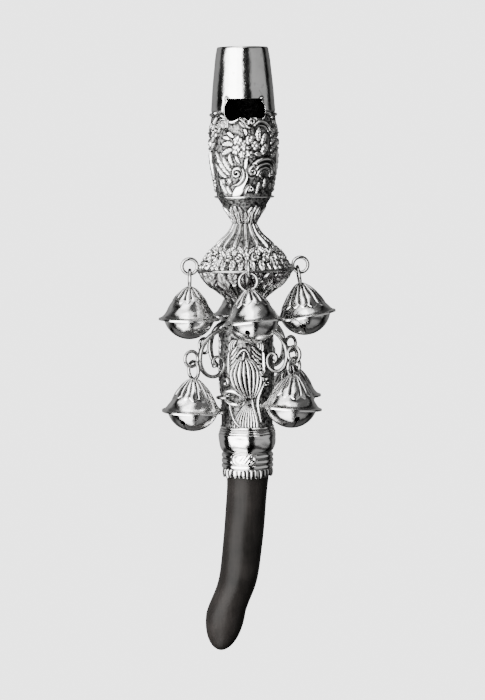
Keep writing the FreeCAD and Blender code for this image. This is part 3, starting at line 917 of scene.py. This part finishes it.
# Outside of a dome from the apex down, its rounded edge, and its inner side back up
DOME_OUTSIDE = [(0.02, 8.66), (0.95, 8.3), (2.7, 6.8), (4.2, 5), (5.3, 3.2), (6.2, 1.65), (6.85, 0.8),
                (7.3, 0.45), (7.8, 0.27)]
DOME_EDGE = [(7.88, 0.22), (7.92, 0.13), (7.9, 0.04), (7.8, 0)]
DOME_INSIDE = [(6.3, 0), (6.1, 0.1), (5.6, 1.5), (4.7, 3.1), (3.6, 4.9), (2, 6.6), (0.02, 7.8)]


def bell_frame(name):
    """Matrix, in millimetres, from a bell's rim plane to its place, read from its hinges and its dome."""
    heart = Vector(JOINTS["rattle_" + name]["pos_m"]) / MM
    hinge = Vector(JOINTS["swing_" + name]["pos_m"]) / MM
    points = [v.co / MM for v in frame["nodes"][name + "_dome"].data.vertices]
    ring = np.array([p for p in points if (p - heart).length > RIM_REACH])
    up = Vector(np.linalg.svd(ring - ring.mean(axis=0))[2][2])
    if up.dot(hinge - heart) < 0:
        up.negate()
    side = Vector(JOINTS["swing_" + name]["axis"]).cross(up).normalized()
    rim = heart - up * BOWL_CENTRE
    return Matrix.Translation(rim) @ Matrix((side, up.cross(side), up)).transposed().to_4x4()


def dome(name, number):
    """Upper half of a bell: gadroons from the apex that end in scallops, then a smooth flare to the rim."""
    profile = smooth_profile(DOME_OUTSIDE, 88)
    columns = 240
    angles = TURN * np.arange(columns) / columns
    lobes = 12 + number % 3
    phase = lobes * angles / 2 + 0.35 * np.sin(2 * angles + number) + 0.2 * np.sin(5 * angles)
    ridge = np.abs(np.sin(phase))
    level = profile[:, 1][:, None]
    scallop = FLUTE_END[name] + 0.35 * np.sin(3 * angles + number) - 0.7 * ridge ** 2
    fluted = 1 / (1 + np.exp(-(level - scallop) / 0.12))
    crown = np.clip((8.7 - level) / 1.2, 0, 1)
    spread = np.clip(profile[:, 0] / 4, 0.25, 1)[:, None]
    groove = np.exp(-(ridge / (0.16 + 0.1 / spread)) ** 2)
    flute = (0.16 * ridge ** 0.8 - 0.42 * groove) * (0.5 + 0.5 * spread)
    lip = 0.09 * np.exp(-((level - scallop + 0.16) / 0.16) ** 2)
    dents = (0.07 * np.sin(3 * angles + number) * np.sin(level * 1.1 + number)
             + 0.04 * np.sin(5 * angles - 2 * level + number))
    relief = (flute * fluted + lip) * crown + dents * np.clip(level / 2, 0, 1) * crown
    outline = np.vstack([profile, DOME_EDGE, DOME_INSIDE])
    blank = np.zeros((len(outline) - len(profile), columns))
    # tarnish and painted shade in the hollows and down the flute grooves
    hollow = np.maximum(hollows(relief, reach=5, depth=0.2), 0.9 * groove * fluted * crown)
    points = turn(outline, columns, np.vstack([relief, blank]), twist=0.4 * number)
    place = bell_frame(name)
    points = [tuple(place @ Vector(p)) for p in points]
    mesh_piece(name + "_fluted_dome", points, lattice(len(outline), columns), BELL_SILVER, "bell_" + name,
               [name + "_dome"], {"hollow": np.vstack([hollow, blank])})


# ---- ferrule and teether

FERRULE_FOOT = -7.1
FERRULE_BAND = [(6.9, 3.9), (6.98, 3.55), (6.72, 3.4), (6.95, 3.2), (7.15, 2.95), (7, 2.8), (7.22, 2.6),
                (7.32, 2.2), (7.24, 2.08), (7.34, 1.95), (7.4, 0.7), (7.3, -0.7), (7.05, -1.7), (6.7, -2.4),
                (6.45, -2.75), (6.36, -3)]
RIB_TOPS = (-3.12, -4.47, -5.82)
FOLDS = 31


def ferrule():
    """Plain band with fine turned lines over three ribs."""
    band = smooth_profile(FERRULE_BAND, 150)
    ribs = []
    for top in RIB_TOPS:
        angle = np.linspace(0.18, pi - 0.18, 18)
        ribs.append(np.stack([6.32 + 0.4 * np.sin(angle), top - 0.66 + 0.64 * np.cos(angle)], axis=1))
    outside = np.vstack([band] + ribs + [[(6.35, FERRULE_FOOT)]])
    columns = 260
    angles = TURN * np.arange(columns) / columns
    worn = (0.035 * np.outer(np.sin(outside[:, 1] * 1.7), np.sin(3 * angles))
            + 0.02 * np.sin(9 * angles + outside[:, 1][:, None] * 2))
    inside = np.array([(6, FERRULE_FOOT), (6, 3.9)])
    points = np.vstack([turn(outside, columns, worn), turn(inside, columns)])
    # tarnish and painted shade in the turned grooves
    radii = np.repeat(outside[:, 0][:, None], columns, axis=1)
    hollow = np.vstack([hollows(radii, reach=5, depth=0.2), np.zeros((2, columns))])
    mesh_piece("ferrule_turned", points, lattice(len(outside) + 2, columns, loop=True), POLISHED,
               replaces=["ferrule"], layers={"hollow": hollow})


def squared(angle, power=0.78):
    """Point of an oval with fuller corners."""
    x, y = cos(angle), sin(angle)
    return copysign(abs(x) ** power, x), copysign(abs(y) ** power, y)


def plaque():
    """Oval plate bent round the ribs: raised rim, uneven hammered field, no mark."""
    low, high = (Vector(v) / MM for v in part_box("ferrule_plaque"))
    centre_x, centre_z = (low.x + high.x) / 2, (low.z + high.z) / 2
    half_x, half_z = (high.x - low.x) / 2, (high.z - low.z) / 2
    rings, columns = 26, 96
    points, hollow = [], []
    for r in range(rings):
        share = r / (rings - 1)
        for c in range(columns):
            angle = TURN * c / columns
            across, along = squared(angle)
            x = centre_x + half_x * share * across
            z = centre_z + half_z * share * along
            rim = 0.12 * exp(-((share - 0.86) / 0.07) ** 2)
            field = 0.05 * sin(3.1 * x + 1) * sin(4.3 * z) + 0.03 * sin(7 * x - 5 * z)
            fall = 0.26 * max(0, (share - 0.93) / 0.07) ** 2
            depth = 6.98 + rim + field * (share < 0.8) - fall
            bow = asin(max(-0.99, min(0.99, x / depth)))
            points.append((depth * sin(bow), -depth * cos(bow), z))
            # a band of tarnish and painted shade just inside the raised rim
            hollow.append(0.45 * exp(-((share - 0.72) / 0.08) ** 2))
    back = len(points)
    for c in range(columns):
        angle = TURN * c / columns
        across, along = squared(angle)
        x = centre_x + half_x * across
        points.append((x, -sqrt(6.5 ** 2 - x ** 2), centre_z + half_z * along))
        hollow.append(0)
    faces = lattice(rings, columns)[columns:]
    faces.append(tuple(reversed(range(columns, 2 * columns))))
    last = (rings - 1) * columns
    for c in range(columns):
        right = (c + 1) % columns
        faces.append((last + c, back + c, back + right, last + right))
    faces.append(tuple(range(back, back + columns)))
    mesh_piece("oval_plaque", points, faces, POLISHED, replaces=["ferrule_plaque"],
               layers={"hollow": hollow})


def crimp():
    """Feathered end of the ferrule, gathered in over the coral."""
    columns, steps = 624, 26
    angles = TURN * np.arange(columns) / columns
    phase = FOLDS * angles + 1.1 * np.sin(3 * angles) + 0.7 * np.sin(7 * angles + 1)
    fold = np.abs(np.cos(phase / 2))
    depth = 0.75 + 0.35 * np.sin(5 * angles + 0.6) + 0.3 * np.sin(13 * angles) * np.sin(3 * angles)
    share = np.linspace(0, 1, steps)[:, None]
    radius = 6.34 + 0.12 * np.sin(pi * share) - 0.1 * share ** 3
    ruffle = (0.55 * fold ** 0.6 - 0.36) * depth * np.clip(share * 6, 0, 1) ** 0.6
    length = 1.75 + 0.4 * fold ** 0.5 + 0.15 * np.sin(4 * angles) + 0.12 * np.sin(17 * angles)
    level = FERRULE_FOOT - share * length
    outer_r = np.maximum(radius + ruffle, 5.62)
    lean = 0.035 * np.sin(phase * 0.5 + 0.8) * share
    outer = np.stack([outer_r * np.cos(FRONT + angles + lean), outer_r * np.sin(FRONT + angles + lean),
                      np.broadcast_to(level, outer_r.shape)], axis=2)
    points = [outer.reshape(-1, 3)]
    inner_x, inner_y = 5.56 * np.cos(FRONT + angles), 5.56 * np.sin(FRONT + angles)
    for z in (level[-1] + 0.25, FERRULE_FOOT):
        points.append(np.stack([inner_x, inner_y, np.broadcast_to(z, (columns,))], axis=1))
    points = np.vstack(points)
    # tarnish and painted shade between the folds
    hollow = np.vstack([np.clip(1.3 * (1 - fold), 0, 1) * np.clip(share * 5, 0, 1), np.zeros((2, columns))])
    mesh_piece("crimped_edge", points, lattice(steps + 2, columns, loop=True), CHASED,
               replaces=["crimp_edge"], layers={"hollow": hollow})


def coral():
    """Coral branch: the CAD's bent line with slow swellings and a rounded, worn tip."""
    top, straight, tip, cap = 2.5, -9.3, -55.2, 10
    shoulder = tip + cap

    def drift(z):
        depth = max(0, straight - z)
        kink = 1 / (1 + exp((z + 41) / 2.4))
        return -(0.1 * depth + 3.6 * kink) * depth / (depth + 3)

    columns = 96
    levels = np.concatenate([np.linspace(top, straight, 14)[:-1], np.linspace(straight, shoulder, 110)[:-1],
                             shoulder - cap * np.sin(np.linspace(0, pi / 2, 76))])
    angles = TURN * np.arange(columns) / columns
    points = []
    for z in levels:
        depth = max(0, straight - z)
        radius = 5.5 - 0.42 * depth / (depth + 3)
        centre = drift(z)
        if z < shoulder:
            share = (shoulder - z) / cap
            centre = drift(shoulder) - 0.13 * (shoulder - z)
            radius *= sqrt(max(0, 1 - share ** 2))
        swell = 0.01 * np.sin(2 * angles + z * 0.21) + 0.008 * np.sin(3 * angles - z * 0.34)
        swell = 1 + min(1, depth / 8) * swell
        for a, s in zip(angles, swell):
            points.append((centre + radius * s * cos(a), radius * s * sin(a), z))
    faces = lattice(len(levels), columns)
    faces.append(tuple(reversed(range(columns))))
    mesh_piece("coral_branch", points, faces, CORAL, replaces=["coral"])


# ---- studio

BACKDROP = (3.2, 3.2, 3.2, 1)
FLOOR_HALF = 30
FLOOR_LEVEL = -0.5
# Brightness of the surroundings: once round by the left from the camera's side, and from below upward
AROUND = [(0, 0.3), (0.15, 0.55), (0.19, 0.5), (0.205, 0.01), (0.278, 0.01), (0.3, 16), (0.485, 20),
          (0.5, 0.01), (0.575, 0.01), (0.595, 0.85), (0.77, 0.7), (0.79, 0.01), (0.83, 0.01), (0.85, 0.22),
          (1, 0.3)]
UPWARD = [(0, 0.3), (0.05, 0.45), (0.14, 0.55), (0.2, 0.12), (0.26, 0.1), (0.34, 1), (0.7, 1),
          (0.78, 0.22), (0.9, 0.2), (1, 0.5)]
CAMERA_DISTANCE = 0.6
CAMERA_DOWN = radians(5.4)
CAMERA_ROLL = radians(0.72)
CAMERA_AIM = Vector((-0.00095, 0, 0.0234))
CAMERA_LENS = 119.6


def floor():
    """Pale floor that is seen but neither mirrored in the silver nor lighting it."""
    mesh = bpy.data.meshes.new("floor")
    corners = [(-FLOOR_HALF, -FLOOR_HALF), (FLOOR_HALF, -FLOOR_HALF), (FLOOR_HALF, FLOOR_HALF),
               (-FLOOR_HALF, FLOOR_HALF)]
    mesh.from_pydata([(x, y, FLOOR_LEVEL) for x, y in corners], [], [(0, 1, 2, 3)])
    made = placed("floor", mesh)
    made.visible_glossy = False
    made.visible_diffuse = False
    material = bpy.data.materials.new("floor")
    material.use_nodes = True
    tree = material.node_tree
    tree.nodes.clear()
    glow = node(tree, "Emission", Color=BACKDROP)
    output = node(tree, "OutputMaterial")
    link(glow.outputs["Emission"], output.inputs["Surface"])
    mesh.materials.append(material)


def surroundings():
    """Plain backdrop for the camera; soft bright and dark bands for everything else."""
    world = bpy.data.worlds.new("studio")
    bpy.context.scene.world = world
    world.use_nodes = True
    tree = world.node_tree
    tree.nodes.clear()
    where = node(tree, "TexCoord").outputs["Generated"]
    split = node(tree, "SeparateXYZ")
    link(where, split.inputs["Vector"])
    azimuth = maths(tree, "ARCTAN2", split.outputs["X"], maths(tree, "MULTIPLY", split.outputs["Y"], -1))
    around = maths(tree, "ADD", maths(tree, "DIVIDE", azimuth, TURN), 0.5)
    upward = maths(tree, "ADD", maths(tree, "MULTIPLY", split.outputs["Z"], 0.5), 0.5)
    soft = node(tree, "Background")
    bright = multiply(tree, ramp(tree, around, AROUND), ramp(tree, upward, UPWARD))
    link(bright, soft.inputs["Color"])
    plain = node(tree, "Background", Color=BACKDROP)
    path = node(tree, "LightPath")
    mix = node(tree, "MixShader")
    link(path.outputs["Is Camera Ray"], mix.inputs["Fac"])
    link(soft.outputs["Background"], mix.inputs[1])
    link(plain.outputs["Background"], mix.inputs[2])
    output = node(tree, "OutputWorld")
    link(mix.outputs["Shader"], output.inputs["Surface"])


def soft_light(name, place, aim, size, power):
    data = bpy.data.lights.new(name, "AREA")
    data.shape = "RECTANGLE"
    data.size, data.size_y = size
    data.energy = power
    light = placed(name, data)
    light.location = place
    light.rotation_euler = (Vector(aim) - Vector(place)).to_track_quat("-Z", "Y").to_euler()


def camera():
    """Camera in front and a little above, turned slightly about its own line of sight."""
    data = bpy.data.cameras.new("camera")
    data.lens = CAMERA_LENS
    data.sensor_width = 36
    data.clip_start = 0.01
    made = placed("camera", data)
    back = Vector((0, -cos(CAMERA_DOWN), sin(CAMERA_DOWN)))
    look = (-back).to_track_quat("-Z", "Y").to_matrix()
    made.matrix_world = (Matrix.Translation(CAMERA_AIM + back * CAMERA_DISTANCE)
                         @ (look @ Matrix.Rotation(-CAMERA_ROLL, 3, "Z")).to_4x4())
    bpy.context.scene.camera = made


camera()
floor()
surroundings()
soft_light("left_front", (-0.5, -0.6, 0.3), (0, 0, 0.03), (0.5, 0.7), 5)
soft_light("overhead", (-0.1, -0.2, 0.75), (0, 0, 0.03), (0.6, 0.5), 3)
finish_nodes()
whistle()
flange()
knop_and_stem()
brackets()
for number, name in enumerate(BELLS):
    dome(name, number)
ferrule()
plaque()
crimp()
coral()
